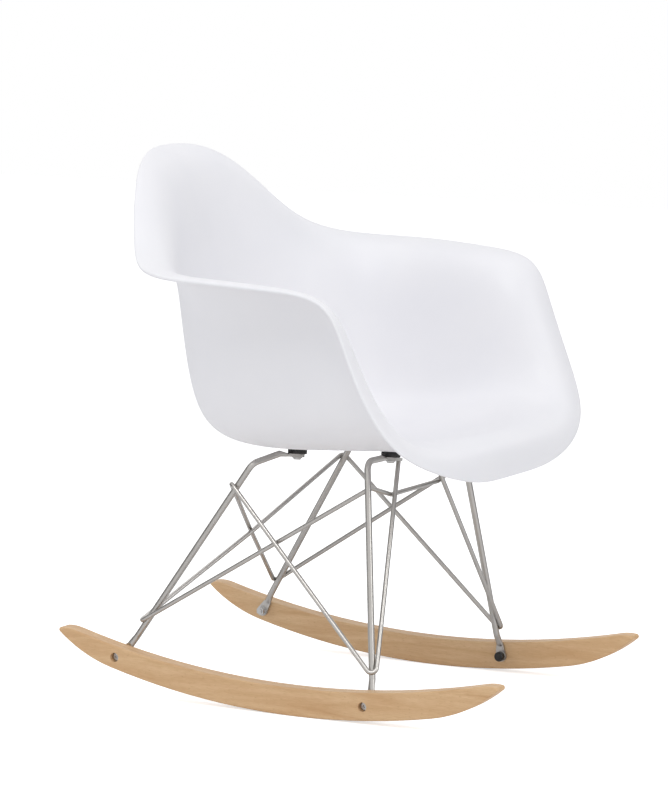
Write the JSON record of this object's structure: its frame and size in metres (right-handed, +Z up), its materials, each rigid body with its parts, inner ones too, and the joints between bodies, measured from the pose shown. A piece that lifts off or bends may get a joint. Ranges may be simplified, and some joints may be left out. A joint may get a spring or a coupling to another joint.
{
  "type": "rocking chair",
  "caption": "Rocking armchair with a one-piece moulded bucket seat on a welded wire base and curved wooden rockers.",
  "frame": {"origin": "on the floor, in the middle of the chair's width and of the rockers' length", "axes": "+Z up, +X towards the sitter's left, the seat opens towards -Y"},
  "size_m": [0.6128, 0.643, 0.7011],
  "materials": {
    "shell_plastic": "satin white moulded plastic",
    "insert_brass": "plain",
    "pad_rubber": "black",
    "base_steel": "satin chromed steel rod",
    "rocker_wood": "light beech, clear matt lacquer",
    "fastener_steel": "zinc plated",
    "cap_plastic": "black"
  },
  "bodies": {
    "root": {"seat_shell": "shell_plastic", "threaded_inserts": "insert_brass", "rubber_pad_front_left": "pad_rubber", "rubber_pad_front_right": "pad_rubber", "rubber_pad_rear_left": "pad_rubber", "rubber_pad_rear_right": "pad_rubber", "front_leg_left": "base_steel", "front_leg_right": "base_steel", "rear_leg_left": "base_steel", "rear_leg_right": "base_steel", "brace_rod_left": "base_steel", "brace_rod_right": "base_steel", "front_crossbar": "base_steel", "rocker_left": "rocker_wood", "rocker_right": "rocker_wood", "rocker_screws": "fastener_steel", "rocker_screw_washers": "fastener_steel", "rocker_nuts": "fastener_steel", "rocker_nut_washers": "fastener_steel", "seat_screws": "fastener_steel", "seat_screw_washers": "fastener_steel", "nut_caps": "cap_plastic"}
  },
  "joints": []
}
